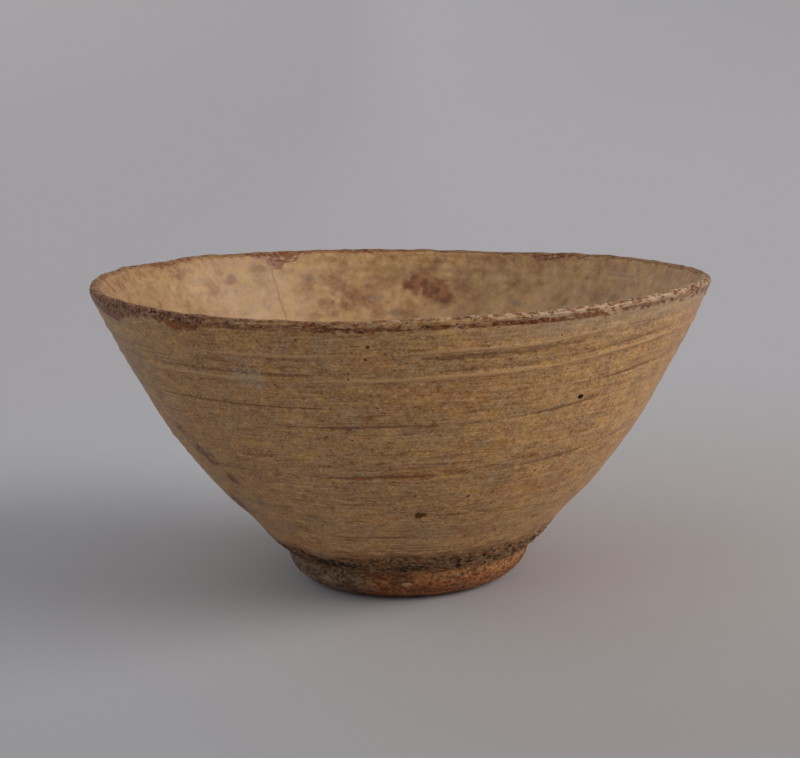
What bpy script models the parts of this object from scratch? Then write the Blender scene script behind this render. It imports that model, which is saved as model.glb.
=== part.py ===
"""Hand-thrown stoneware tea bowl: one fired clay body and the coats of glaze fused to it.

Metres, +Z up. The origin is the middle of the foot, on the surface that the bowl stands on.
Every piece is turned about the Z axis from an outline of (radius, height) points. The rim of the
finished pot isn't quite level with its foot, so each turned piece is then raised or lowered a
little round the axis, by an amount that grows with height.
"""

import math

import bmesh
import bpy
from mathutils import Vector

# Overall size
RIM_RADIUS = 0.0750
HEIGHT = 0.0743
RIM_TILT = 0.0016  # how far the rim is above HEIGHT on the -X side, and below it on the +X side
RIM_BEND = 0.0007  # how far it also rises and falls twice round the bowl
RIM_BEND_TURN = math.radians(-22.5)  # where one of those two rises is

# Wall, seen in section
LIP_EDGE = 0.0008  # radius of the lip's outer edge
LIP_THICK = 0.0028
LIP_FLARE = math.radians(22.7)  # the wall's lean from upright where it meets the lip
FOOT_FLARE = math.radians(49.0)  # the wall's lean from upright where it leaves the foot
WALL_HANDLE_LOW = 0.0274  # lengths of the curve handles that give the wall its gentle swell
WALL_HANDLE_HIGH = 0.0199
WALL_THICK_LOW = 0.0068
FLOOR_HEIGHT = 0.0104  # top of the floor in the middle of the bowl
FLOOR_MEETS_WALL = 0.05  # how far up the outside wall the floor turns up into the wall
FLOOR_SHARE = 0.25  # share of the inside outline that is floor

# Foot ring
FOOT_RADIUS = 0.0301
FOOT_HEIGHT = 0.0073
FOOT_BEVEL_HEIGHT = 0.0058
FOOT_BEVEL_HANDLE = Vector((0.0286, 0.0016))
REST_OUTER = 0.0234  # the flat ring that the bowl rests on
REST_INNER = 0.0190
RECESS_DEPTH = 0.0056
RECESS_RADIUS = 0.0168
NIPPLE_RADIUS = 0.0040  # the low point that trimming leaves in the middle of the recess
NIPPLE_DROP = 0.0012

# Glaze
GLAZE = 0.0006
FIT_GAP = 0.0003  # the clear space between a coat and the clay that it covers
GLAZE_FROM, GLAZE_TO = 0.090, 0.965  # stretch of the outside wall under the main coat, 0 foot to 1 lip
CRUST_FROM, CRUST_TO = 0.014, 0.078  # stretch under the crawled bead below the main coat
CRUST_BULGE = 0.0004
INSIDE_TO = 0.965  # where the inside coat stops, 0 floor to 1 lip
SEAT_RAMP = 0.012  # stretch over which the clay dips under a coat

# Facets
TURN_STEPS = 56
WALL_STEPS = 8
FLOOR_STEPS = 3
CRUST_STEPS = 3
ARC_STEPS = 4

CLAY_COLOUR = (0.300, 0.135, 0.060, 1.0)
GLAZE_OUT_COLOUR = (0.300, 0.190, 0.095, 1.0)
GLAZE_IN_COLOUR = (0.390, 0.265, 0.145, 1.0)
CRUST_COLOUR = (0.060, 0.040, 0.028, 1.0)


def clear_scene():
    for obj in list(bpy.data.objects):
        bpy.data.objects.remove(obj, do_unlink=True)


def material(name, colour, roughness):
    made = bpy.data.materials.new(name)
    made.use_nodes = True
    shader = made.node_tree.nodes["Principled BSDF"]
    shader.inputs["Base Color"].default_value = colour
    shader.inputs["Roughness"].default_value = roughness
    shader.inputs["Metallic"].default_value = 0.0
    made.diffuse_color = colour
    return made


def bezier(points, t):
    """Point at t on the Bezier curve with these control points."""
    points = list(points)
    while len(points) > 1:
        points = [a.lerp(b, t) for a, b in zip(points, points[1:])]
    return points[0]


def lip_edge(angle):
    """Point on the rounded outer edge of the lip, which faces this way up from the outside."""
    centre = Vector((RIM_RADIUS - LIP_EDGE, HEIGHT - LIP_EDGE))
    return centre + LIP_EDGE * Vector((math.cos(angle), math.sin(angle)))


def wall_curve():
    """Control points of the outside wall, from the top of the foot to the start of the lip."""
    start = Vector((FOOT_RADIUS, FOOT_HEIGHT))
    end = lip_edge(-LIP_FLARE)
    leave = Vector((math.sin(FOOT_FLARE), math.cos(FOOT_FLARE)))
    arrive = Vector((math.sin(LIP_FLARE), math.cos(LIP_FLARE)))
    return [start, start + WALL_HANDLE_LOW * leave, end - WALL_HANDLE_HIGH * arrive, end]


def outside(t):
    """Point on the outside wall and the direction that faces away from the clay there."""
    curve = wall_curve()
    step = 0.001
    low, high = max(t - step, 0.0), min(t + step, 1.0)
    along = (bezier(curve, high) - bezier(curve, low)).normalized()
    return bezier(curve, t), Vector((along.y, -along.x))


def floor_curve():
    """Control points of the floor, from the middle out to where it turns up into the wall."""
    point, away = outside(FLOOR_MEETS_WALL)
    corner = point - WALL_THICK_LOW * away
    slope = Vector((-away.y, away.x))
    back = (corner.y - FLOOR_HEIGHT) / slope.y
    return [Vector((0.0, FLOOR_HEIGHT)), corner - back * slope, corner]


def inside(t):
    """Point on the inside of the bowl, from the middle of the floor at 0 to the lip at 1."""
    if t < FLOOR_SHARE:
        return bezier(floor_curve(), t / FLOOR_SHARE)
    share = (t - FLOOR_SHARE) / (1.0 - FLOOR_SHARE)
    point, away = outside(FLOOR_MEETS_WALL + (1.0 - FLOOR_MEETS_WALL) * share)
    thick = WALL_THICK_LOW + (LIP_THICK - WALL_THICK_LOW) * share
    return point - thick * away


def inside_away(t):
    """Direction that faces away from the clay on the inside."""
    step = 0.002
    along = (inside(min(t + step, 1.0)) - inside(max(t - step, 0.0))).normalized()
    return Vector((-along.y, along.x))


def seat(t, start, end):
    """0 where the clay is bare and 1 where a coat from start to end covers it."""
    rise = min(max((t - start + SEAT_RAMP) / SEAT_RAMP, 0.0), 1.0)
    fall = min(max((end + SEAT_RAMP - t) / SEAT_RAMP, 0.0), 1.0)
    return min(rise, fall)


def spread(start, end, steps):
    return [start + (end - start) * i / steps for i in range(steps + 1)]


def inside_places():
    """Places along the inside coat, from its edge under the lip to the middle of the floor."""
    return spread(INSIDE_TO, FLOOR_SHARE, WALL_STEPS) + spread(FLOOR_SHARE, 0.0, FLOOR_STEPS)[1:]


def clay_outline():
    """From the middle of the recess, round the foot, up the outside, over the lip and down inside."""
    dip = GLAZE + FIT_GAP
    points = [Vector((0.0, RECESS_DEPTH - NIPPLE_DROP))]
    points.append(Vector((NIPPLE_RADIUS * 0.45, RECESS_DEPTH - NIPPLE_DROP * 0.8)))
    points.append(Vector((NIPPLE_RADIUS, RECESS_DEPTH)))
    points.append(Vector((RECESS_RADIUS - 0.0012, RECESS_DEPTH)))
    points.append(Vector((RECESS_RADIUS, RECESS_DEPTH - 0.0010)))
    points.append(Vector((REST_INNER - 0.0004, 0.0005)))
    points.append(Vector((REST_INNER, 0.0)))
    bevel = [Vector((REST_OUTER, 0.0)), FOOT_BEVEL_HANDLE, Vector((FOOT_RADIUS - 0.0002, FOOT_BEVEL_HEIGHT))]
    points += [bezier(bevel, t) for t in spread(0.0, 1.0, ARC_STEPS)]
    under_crust = [CRUST_FROM, (CRUST_FROM + CRUST_TO) / 2.0]
    under_coat = spread(GLAZE_FROM, GLAZE_TO, WALL_STEPS)
    for t in [0.0] + under_crust + under_coat + [GLAZE_TO + SEAT_RAMP]:
        point, away = outside(t)
        points.append(point - dip * seat(t, CRUST_FROM, GLAZE_TO) * away)
    points += [lip_edge(angle) for angle in spread(-LIP_FLARE, math.pi / 2.0, ARC_STEPS)]
    lip_end = inside(INSIDE_TO + SEAT_RAMP)
    lip_top = [points[-1], Vector((lip_end.x + 0.0006, HEIGHT)), lip_end]
    points += [bezier(lip_top, t) for t in spread(0.0, 1.0, ARC_STEPS)[1:]]
    for t in inside_places():
        dipped = inside(t) - dip * seat(t, -1.0, INSIDE_TO) * inside_away(t)
        points.append(Vector((dipped.x if t > 0.0 else 0.0, dipped.y)))
    return points


def coat_outline(places, surface, thickness, bulge=0.0):
    """A thin closed band: its face follows the surface, and its back is one thickness behind."""
    last = len(places) - 1
    face, back = [], []
    for i, t in enumerate(places):
        point, away = surface(t)
        ends = 0.5 if i in (0, last) else 1.0
        crown = bulge * math.sin(math.pi * i / last)
        face.append(point + (crown - thickness * (1.0 - ends)) * away)
        back.append(point - thickness * away)
    return face + back[::-1]


def rim_lift(angle, height):
    """How far the uneven rim raises a point, none at the foot and all of it at the lip."""
    share = max(height - FOOT_HEIGHT, 0.0) / (HEIGHT - FOOT_HEIGHT)
    lift = RIM_BEND * math.cos(2.0 * (angle - RIM_BEND_TURN)) - RIM_TILT * math.cos(angle)
    return lift * share * share


def turned(name, outline, closed, look):
    """An object turned about Z from an outline, which is a loop or runs from the axis to the axis."""
    mesh = bmesh.new()
    rings = []
    for point in outline:
        if point.x == 0.0:
            rings.append([mesh.verts.new((0.0, 0.0, point.y))] * TURN_STEPS)
            continue
        ring = []
        for step in range(TURN_STEPS):
            angle = 2.0 * math.pi * step / TURN_STEPS
            height = point.y + rim_lift(angle, point.y)
            ring.append(mesh.verts.new((point.x * math.cos(angle), point.x * math.sin(angle), height)))
        rings.append(ring)
    pairs = list(zip(rings, rings[1:]))
    if closed:
        pairs.append((rings[-1], rings[0]))
    for low, high in pairs:
        for step in range(TURN_STEPS):
            after = (step + 1) % TURN_STEPS
            corners = [low[step], low[after], high[after], high[step]]
            corners = [c for i, c in enumerate(corners) if c not in corners[:i]]
            mesh.faces.new(corners)
    bmesh.ops.recalc_face_normals(mesh, faces=mesh.faces)
    data = bpy.data.meshes.new(name)
    mesh.to_mesh(data)
    mesh.free()
    data.shade_smooth()
    data.set_sharp_from_angle(angle=math.radians(40.0))
    data.materials.append(look)
    made = bpy.data.objects.new(name, data)
    bpy.context.collection.objects.link(made)
    return made


def make_clay_body():
    """Wall, floor, lip and trimmed foot ring: one lump of clay."""
    return turned("clay_body", clay_outline(), False, material("bare_clay", CLAY_COLOUR, 0.8))


def make_glaze_outside():
    places = spread(GLAZE_FROM, GLAZE_TO, WALL_STEPS)
    outline = coat_outline(places, outside, GLAZE)
    return turned("glaze_outside", outline, True, material("ochre_glaze", GLAZE_OUT_COLOUR, 0.5))


def make_glaze_crust():
    """The thick dark bead that crawled away from the lower edge of the main coat."""
    places = spread(CRUST_FROM, CRUST_TO, CRUST_STEPS)
    outline = coat_outline(places, outside, GLAZE, CRUST_BULGE)
    return turned("glaze_crust", outline, True, material("dark_crust", CRUST_COLOUR, 0.6))


def make_glaze_inside():
    """The inside coat, which runs unbroken across the floor."""
    places = inside_places()
    face = [inside(t) for t in places]
    back = [inside(t) - GLAZE * inside_away(t) for t in places]
    face[0] = (face[0] + back[0]) / 2.0
    for line in (face, back):
        line[-1] = Vector((0.0, line[-1].y))
    outline = face[::-1] + back
    return turned("glaze_inside", outline, False, material("pale_glaze", GLAZE_IN_COLOUR, 0.5))


def main():
    clear_scene()
    make_clay_body()
    make_glaze_outside()
    make_glaze_crust()
    make_glaze_inside()


main()
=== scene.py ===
"""Looks of a hand-thrown matcha bowl: glazed outside and inside, iron-brown lip, crawled glaze, bare foot.

Surfaces are worked out in millimetres on grids that run round the bowl and along its outline, and are
turned into metres when a mesh is made. Angles are in degrees round +Z, with -90 on the side seen first.
"""

import math

import bpy
import numpy as np
from mathutils import Euler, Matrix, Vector


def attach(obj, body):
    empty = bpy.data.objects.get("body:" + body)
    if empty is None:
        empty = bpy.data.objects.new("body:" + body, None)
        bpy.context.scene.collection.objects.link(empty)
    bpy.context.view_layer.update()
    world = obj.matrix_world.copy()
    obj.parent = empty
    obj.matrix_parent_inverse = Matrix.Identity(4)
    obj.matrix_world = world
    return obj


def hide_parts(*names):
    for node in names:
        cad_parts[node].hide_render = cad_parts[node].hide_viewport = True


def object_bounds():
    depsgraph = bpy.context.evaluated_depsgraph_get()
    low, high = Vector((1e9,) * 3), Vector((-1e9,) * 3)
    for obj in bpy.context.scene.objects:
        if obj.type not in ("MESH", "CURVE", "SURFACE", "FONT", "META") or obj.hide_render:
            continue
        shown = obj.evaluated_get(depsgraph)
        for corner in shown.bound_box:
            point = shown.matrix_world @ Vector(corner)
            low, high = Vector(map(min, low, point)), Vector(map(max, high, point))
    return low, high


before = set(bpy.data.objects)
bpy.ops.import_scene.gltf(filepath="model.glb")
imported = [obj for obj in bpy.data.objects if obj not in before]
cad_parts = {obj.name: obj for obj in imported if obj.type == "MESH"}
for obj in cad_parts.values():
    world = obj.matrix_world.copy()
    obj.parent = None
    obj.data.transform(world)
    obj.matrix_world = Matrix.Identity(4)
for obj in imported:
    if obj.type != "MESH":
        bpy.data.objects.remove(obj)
CAD_LOW, CAD_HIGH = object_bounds()

MM = 0.001

# ---- sizes, from the CAD box
RIM_RADIUS = CAD_HIGH.x / MM
RIM_TOP = CAD_HIGH.z / MM
HEIGHT = 74.1  # mean height of the lip, which rises and falls round the bowl
LIP_EDGE = 0.8  # radius of the lip's outer edge
LIP_THICK = 2.8
LIP_END = 0.977  # where the top of the lip turns down, as a share of the inside outline
LIP_FLARE = math.radians(22.7)
FOOT_FLARE = math.radians(49.0)
WALL_HANDLE_LOW = 27.4
WALL_HANDLE_HIGH = 19.9
FOOT_RADIUS = 30.1
FOOT_HEIGHT = 7.3
WALL_THICK_LOW = 6.8
FLOOR_HEIGHT = 10.4
FLOOR_MEETS_WALL = 0.05
FLOOR_SHARE = 0.25
SLACK = 0.05  # nothing comes nearer than this to the sides and the top of the CAD box
COAT = 0.28  # how far a coat of glaze stands over the bare clay beside it
DIP = 0.35  # how much further its face dips past the coat's edges
TUCK = 0.55  # how far a coat's hidden back lies under that
HIDDEN_DROP = 0.4  # how far the clay lies lower where the glaze hides it
RING = 75.0  # radius at which noise that only runs round the bowl is read
FLATTENED = np.array([1.0, 1.0, 0.25])  # draws noise out up and down
LEVELLED = np.array([1.0, 1.0, 0.0])  # makes noise the same at every height
COAT_COLUMNS = 560
LIP_ROWS = 13  # points over the lip, of which each coat takes an end and the clay shows between them


# ---- repeatable noise
def lattice(corner, seed):
    """A fixed random number from -1 to 1 for each whole-number corner."""
    mixed = (corner @ np.array([374761393, 668265263, 1442695041]) + seed * 974634777) & 0xFFFFFFFF
    mixed = ((mixed ^ (mixed >> 13)) * 1274126177) & 0xFFFFFFFF
    mixed = mixed ^ (mixed >> 16)
    return mixed / 2147483648.0 - 1.0


def noise(points, size, seed, octaves=1):
    """Smooth noise from -1 to 1. size is one length, or one for each axis, in millimetres."""
    total = np.zeros(points.shape[:-1])
    weight, reach = 1.0, 0.0
    scaled = points / np.asarray(size, float) + 17.3
    for octave in range(octaves):
        base = np.floor(scaled).astype(np.int64)
        part = scaled - base
        part = part * part * part * (part * (part * 6.0 - 15.0) + 10.0)
        value = 0.0
        for corner in np.ndindex(2, 2, 2):
            share = np.where(corner, part, 1.0 - part).prod(-1)
            value = value + share * lattice(base + corner, seed + octave)
        total += weight * value
        reach += weight
        weight *= 0.5
        scaled = scaled * 2.03 + 5.1
    return total / reach


def cells(points, size, seed):
    """(distance to the nearest of a field of scattered points, that point's random number)."""
    scaled = points / np.asarray(size, float) + 11.7
    base = np.floor(scaled).astype(np.int64)
    nearest = np.full(points.shape[:-1], 9.0)
    owner = np.zeros(points.shape[:-1])
    for move in np.ndindex(3, 3, 3):
        corner = base + move - 1
        jitter = np.stack([lattice(corner, seed + axis) for axis in (1, 2, 3)], -1) * 0.5 + 0.5
        gap = np.linalg.norm(corner + jitter - scaled, axis=-1)
        closer = gap < nearest
        nearest = np.where(closer, gap, nearest)
        owner = np.where(closer, lattice(corner, seed) * 0.5 + 0.5, owner)
    return nearest, owner


def smooth(value, low, high):
    """0 below low, 1 above high and a smooth step between; low may be above high."""
    share = np.clip((value - low) / (high - low), 0.0, 1.0)
    return share * share * (3.0 - 2.0 * share)


def around(points, knots, blur=4.0):
    """A smooth closed curve through (degrees, value) knots, read at each point's angle round the bowl."""
    angles = np.degrees(np.arctan2(points[..., 1], points[..., 0]))
    places, values = np.array(knots, float).T
    turn = np.arange(-180.0, 180.0, 0.5)
    line = np.interp(turn, places, values, period=360.0)
    apart = (turn - turn[0] + 180.0) % 360.0 - 180.0
    weight = np.exp(-((apart / (0.5 * blur)) ** 2))
    line = np.real(np.fft.ifft(np.fft.fft(line) * np.fft.fft(weight / weight.sum())))
    return np.interp(angles, turn, line, period=360.0)


# ---- the outline
def bezier(points, t):
    """Points at shares t along the Bezier curve with these control points."""
    points = [np.asarray(p, float) for p in points]
    t = np.asarray(t, float)[:, None]
    while len(points) > 1:
        points = [a * (1.0 - t) + b * t for a, b in zip(points, points[1:])]
    return points[0]


def lip_edge(angles):
    """Points on the lip's rounded outer edge, facing these angles up from the outside."""
    centre = np.array([RIM_RADIUS - SLACK - LIP_EDGE, HEIGHT - LIP_EDGE])
    return centre + LIP_EDGE * np.stack([np.cos(angles), np.sin(angles)], 1)


def wall_curve():
    """Control points of the outside wall, from the top of the foot to the lip's outer edge."""
    start = np.array([FOOT_RADIUS, FOOT_HEIGHT])
    end = lip_edge(np.array([-LIP_FLARE]))[0]
    leave = np.array([math.sin(FOOT_FLARE), math.cos(FOOT_FLARE)])
    arrive = np.array([math.sin(LIP_FLARE), math.cos(LIP_FLARE)])
    return [start, start + WALL_HANDLE_LOW * leave, end - WALL_HANDLE_HIGH * arrive, end]


def facing_out(line):
    """Unit vectors square to an outline that has its solid on its left."""
    along = np.gradient(line, axis=0)
    along /= np.linalg.norm(along, axis=1)[:, None]
    return np.stack([along[:, 1], -along[:, 0]], 1)


def outside(t):
    """Outline of the outside wall, from 0 at the foot to 1 at the lip, and the way it faces."""
    t = np.asarray(t, float)
    curve, step = wall_curve(), 1e-4
    along = bezier(curve, np.clip(t + step, 0, 1)) - bezier(curve, np.clip(t - step, 0, 1))
    along /= np.linalg.norm(along, axis=1)[:, None]
    return bezier(curve, t), np.stack([along[:, 1], -along[:, 0]], 1)


def inside(t):
    """Outline of the inside, from 0 in the middle of the floor to 1 at the lip."""
    t = np.asarray(t, float)
    share = np.clip((t - FLOOR_SHARE) / (1.0 - FLOOR_SHARE), 0.0, 1.0)
    wall, away = outside(FLOOR_MEETS_WALL + (1.0 - FLOOR_MEETS_WALL) * share)
    thick = WALL_THICK_LOW + (LIP_THICK - WALL_THICK_LOW) * share
    wall = wall - thick[:, None] * away
    corner, lean = outside([FLOOR_MEETS_WALL])
    corner = corner[0] - WALL_THICK_LOW * lean[0]
    back = (corner[1] - FLOOR_HEIGHT) / lean[0][0]
    bend = corner - back * np.array([-lean[0][1], lean[0][0]])
    floor = bezier([(0.0, FLOOR_HEIGHT), bend, corner], np.clip(t / FLOOR_SHARE, 0.0, 1.0))
    return np.where((t < FLOOR_SHARE)[:, None], floor, wall)


def along_line(line, spacing):
    """Points at an even spacing along a polyline."""
    gaps = np.linalg.norm(np.diff(line, axis=0), axis=1)
    run = np.concatenate([[0.0], np.cumsum(gaps)])
    count = max(2, int(round(run[-1] / spacing)) + 1)
    places = np.linspace(0.0, run[-1], count)
    return np.stack([np.interp(places, run, line[:, k]) for k in (0, 1)], 1)


def rounded(line, times=3):
    """A polyline with its corners cut off again and again, which leaves its ends where they are."""
    for _ in range(times):
        quarter = line[:-1] * 0.75 + line[1:] * 0.25
        three = line[:-1] * 0.25 + line[1:] * 0.75
        inner = np.stack([quarter, three], 1).reshape(-1, 2)
        line = np.vstack([line[:1], inner[1:-1], line[-1:]])
    return line


def foot_line():
    """From the middle of the recess, over the flat resting ring, up the bevel to the top of the foot."""
    recess = [(0.0, 4.4), (1.8, 4.6), (4.0, 5.6), (15.6, 5.6), (16.8, 4.6), (18.5, 0.5)]
    ring = [(19.2, 0.0), (21.2, 0.0)]
    bevel = bezier([(23.2, 0.0), (28.6, 1.6), (29.9, 5.8)], np.linspace(0.0, 1.0, 9))
    return rounded(np.vstack([recess, ring, bevel, [(30.0, 6.6), (FOOT_RADIUS, FOOT_HEIGHT)]]))


def lip_line(steps):
    """Over the lip: round its outer edge, across its sloping top and down to the inside wall."""
    edge = lip_edge(np.linspace(-LIP_FLARE, 0.5 * math.pi, 10))
    end = inside([LIP_END])[0]
    top = bezier([edge[-1], (end[0] + 0.6, HEIGHT), end], np.linspace(0.0, 1.0, 24))
    line = np.vstack([edge, top[1:]])
    gaps = np.linalg.norm(np.diff(line, axis=0), axis=1)
    return along_line(line, gaps.sum() / (steps - 1))


# ---- from outline to surface
class Surface:
    """A grid of points: outline points by angles round the bowl."""

    def __init__(self, line, away, columns):
        self.line = line
        self.away = away
        self.turn = np.linspace(-180.0, 180.0, columns, endpoint=False)
        self.angle = np.broadcast_to(self.turn[None, :], (len(line), columns))
        self.height = np.broadcast_to(line[:, 1][:, None], self.angle.shape)
        self.base = self.raised(np.zeros(self.angle.shape))

    def raised(self, amount):
        """The grid moved this far along the way the outline faces."""
        radius = self.line[:, 0][:, None] + amount * self.away[:, 0][:, None]
        height = self.line[:, 1][:, None] + amount * self.away[:, 1][:, None]
        turn = np.radians(self.turn)[None, :]
        return np.stack([radius * np.cos(turn), radius * np.sin(turn), height + 0.0 * turn], -1)


def on_ring(points):
    """Each point moved level to one ring, so that noise read there only runs round the bowl."""
    turn = np.arctan2(points[..., 1], points[..., 0])
    return np.stack([np.cos(turn) * RING, np.sin(turn) * RING, 0.0 * turn], -1)


def bumps(height, rows):
    """Level ridges and grooves round the bowl. Rows are height, how far it stands out, half-width."""
    return sum(stand * np.exp(-(((height - level) / half) ** 2)) for level, stand, half in rows)


RIM_HEIGHTS = (  # degrees, height of the lip there
    (-169, 75.9), (-150, 75.9), (-136, 75.4), (-122, 74.8), (-104, 74.3), (-84, 74.6), (-71, 74.4),
    (-50, 74.7), (-30, 74.8), (-15, 74.0), (0, 73.2), (20, 72.9), (48, 72.8), (64, 72.5), (82, 73.3),
    (100, 74.0), (118, 75.0), (138, 76.0), (150, 75.9), (164, 76.7), (180, 76.3),
)


def rim_lift(points):
    """How far the uneven rim raises each point, none at the foot and all of it at the lip."""
    share = np.clip((points[..., 2] - FOOT_HEIGHT) / (HEIGHT - FOOT_HEIGHT), 0.0, 1.1)
    ring = on_ring(points)
    waves = 0.2 * noise(ring, 9.0, 5) + 0.13 * noise(ring, 3.2, 7)
    return (around(points, RIM_HEIGHTS, 9.0) - HEIGHT) * share**2 + waves * share**8


RIDGES = (  # height, how far it stands out, half-width: throwing ridges and grooves on the outside
    (70.4, 0.08, 0.7), (67.6, -0.1, 0.6), (66.4, 0.2, 0.45), (64.9, -0.14, 0.9), (61.9, -0.14, 0.6),
    (60.7, 0.24, 0.42), (59.4, -0.09, 0.7), (56.9, 0.07, 0.6), (54.3, -0.22, 0.36), (51.8, 0.07, 0.7),
    (49.7, -0.19, 0.38), (46.3, 0.08, 0.5), (43.6, -0.1, 0.5), (40.9, 0.12, 0.5), (37.2, -0.17, 0.42),
    (34.0, 0.09, 0.6), (31.6, -0.1, 0.5), (28.4, 0.09, 0.5), (25.6, -0.12, 0.45), (22.0, 0.08, 0.5),
    (18.9, -0.12, 0.5), (16.2, 0.08, 0.5),
)
SWELLS_OUTSIDE = (40.0, 0.4, 8.0), (17.5, -0.7, 5.0)  # the wall's slow swells
RIDGES_INSIDE = (68.9, 0.16, 0.7), (67.6, -0.1, 0.6), (55.0, 0.1, 1.2), (37.0, 0.1, 1.5)  # on the inside
RIDGE_RISE = (  # degrees, how much higher the throwing lines run there, as they climb round the bowl
    (-180, -1.2), (-132, -0.3), (-91, 0.0), (-67, 0.6), (-45, 3.0), (-20, 4.2), (30, 3.2), (90, 1.0),
    (140, -0.6),
)
RIDGE_STRENGTH = (  # degrees, how strongly the throwing lines show there
    (-180, 0.5), (-138, 0.65), (-122, 0.95), (-90, 1.1), (-45, 0.9), (-28, 0.5), (0, 0.5), (90, 0.8),
    (140, 0.6),
)


def ridges(points):
    """The named throwing ridges and grooves of the outside, wandering a little and broken here and there."""
    ring = points * FLATTENED
    height = points[..., 2] - 0.45 * noise(ring, 38.0, 21) - 0.22 * noise(ring, 10.0, 22)
    height = height - around(points, RIDGE_RISE, 24.0)
    total = np.zeros(height.shape)
    for index, (level, stand, half) in enumerate(RIDGES):
        fade = np.clip(0.95 + 0.8 * noise(ring, 20.0, 40 + index), 0.35, 1.4)
        total += stand * fade * np.exp(-(((height - level) / half) ** 2))
    return total * around(points, RIDGE_STRENGTH, 12.0)


def outside_relief(points):
    """What throwing, trimming and firing did to the outside, in millimetres out from the outline."""
    relief = ridges(points) + bumps(points[..., 2], SWELLS_OUTSIDE)
    relief += 0.045 * noise(points, (34.0, 34.0, 0.95), 61, 2)
    relief += 0.065 * noise(points, (60.0, 60.0, 2.9), 65, 2)
    relief += 0.16 * noise(points, (70.0, 70.0, 11.0), 69)
    relief += 0.055 * noise(points, (2.2, 2.2, 1.5), 71, 2)
    return relief


def inside_relief(points):
    """The smoother inside: slow swells, faint finger lines and one step a little below the lip."""
    ring = points * FLATTENED
    height = points[..., 2] - 0.7 * noise(ring, 40.0, 81)
    relief = 0.16 * noise(points, (80.0, 80.0, 8.0), 83) + 0.035 * noise(points, (36.0, 36.0, 1.4), 85, 2)
    relief += 0.024 * noise(points, 2.2, 87, 2)
    return relief + bumps(height, RIDGES_INSIDE)


IRON_OUTSIDE = (  # degrees, how far the lip's iron brown reaches down the outside
    (-180, 2.2), (-165, 2.8), (-157, 4.0), (-149, 5.2), (-143, 2.6), (-136, 2.2), (-131, 4.2), (-126, 3.4),
    (-121, 2.2), (-114, 2.4), (-108, 1.8), (-105.5, 2.2), (-104, 3.5), (-102, 2.0), (-96, 2.4), (-88, 2.4),
    (-80, 2.5), (-64, 2.2), (-56, 3.4), (-50, 2.4), (-38, 3.0), (-24, 3.4), (-8, 3.6), (12, 2.2), (34, 3.4),
    (52, 2.2), (75, 2.0), (100, 3.0), (120, 2.4), (140, 2.2), (158, 3.8),
)
IRON_INSIDE = (  # degrees, how far it reaches from the outer edge over the lip and down the inside
    (-180, 1.9), (-150, 1.5), (-120, 1.0), (-90, 0.8), (-60, 0.8), (-30, 1.0), (0, 1.6), (20, 1.9),
    (38, 2.0), (50, 3.4), (56, 4.4), (60, 2.2), (66, 3.2), (72, 1.8), (84, 2.0), (92, 2.7), (99, 3.6),
    (104, 2.1), (112, 2.4), (116, 5.0), (120, 5.6), (123, 3.4), (128, 2.0), (140, 2.0), (147, 3.2),
    (152, 3.6), (158, 2.2), (168, 2.6),
)
IRON_TONE = (  # degrees, 1 where it burned dark purple brown and 0 where it is pale rust
    (-180, 0.55), (-150, 0.75), (-128, 0.7), (-114, 0.5), (-106, 0.35), (-103, 0.65), (-99, 0.15),
    (-80, 0.05), (-45, 0.05), (-15, 0.15), (10, 0.4), (50, 0.4), (90, 0.3), (120, 0.3), (150, 0.4),
)
IRON_COVER = (  # degrees, how much of that band is brown and not tan
    (-180, 0.6), (-165, 0.75), (-150, 0.9), (-135, 0.85), (-124, 0.7), (-114, 0.46), (-107, 0.4),
    (-104, 0.9), (-101, 0.38), (-92, 0.32), (-76, 0.34), (-62, 0.38), (-45, 0.38), (-25, 0.55), (-8, 0.66),
    (20, 0.6), (60, 0.66), (100, 0.68), (140, 0.66), (165, 0.62),
)
IRON_LINE = (  # degrees, how strongly a second thin line runs two millimetres below the edge
    (-180, 0.0), (-130, 0.3), (-117, 0.9), (-110, 0.4), (-101, 1.0), (-88, 1.0), (-70, 1.0), (-50, 0.85),
    (-36, 0.6), (-20, 0.3), (0, 0.0), (90, 0.3), (150, 0.2),
)


COAT_LOW_EDGE = (  # degrees, height of the outside coat's lower edge
    (-136, 12.6), (-124, 10.6), (-110, 12.2), (-95, 13.0), (-68, 12.8), (-44, 13.6), (0, 13.0), (60, 12.0),
    (120, 13.2), (170, 12.4),
)


def below_lip(points):
    """Distance down from the top of the lip, before the rim's unevenness."""
    return HEIGHT - points[..., 2]


def from_edge(points, outer):
    """Distance from the lip's outer edge, down the outside or over the top and down the inside."""
    if outer:
        return below_lip(points)
    edge_radius = RIM_RADIUS - SLACK - 0.5 * LIP_EDGE
    return np.hypot(edge_radius - np.hypot(points[..., 0], points[..., 1]), below_lip(points))


def bare_reach(points):
    """How far below the top of the lip the outside coat wore away."""
    return 0.7 + 0.45 * around(points, IRON_OUTSIDE) * around(points, IRON_TONE)


def glaze_low_edge(points):
    """Height of the ragged lower edge of the outside coat."""
    ring = points * LEVELLED
    return around(points, COAT_LOW_EDGE) + 0.9 * noise(ring, 7.0, 101) + 0.6 * noise(ring, 2.6, 103)


def nicks(points):
    """Small chips and hollows knocked out of the lip, in millimetres, as a depth."""
    ring = on_ring(points)
    near, owner = cells(ring, 9.0, 111)
    chips = np.where(owner > 0.45, smooth(near, 0.2, 0.04), 0.0) * (0.15 + 0.35 * owner)
    rough = 0.1 * np.clip(noise(ring, 2.0, 115), 0.0, 1.0)
    return (chips + rough) * smooth(below_lip(points), 2.2, 0.4)


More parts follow.
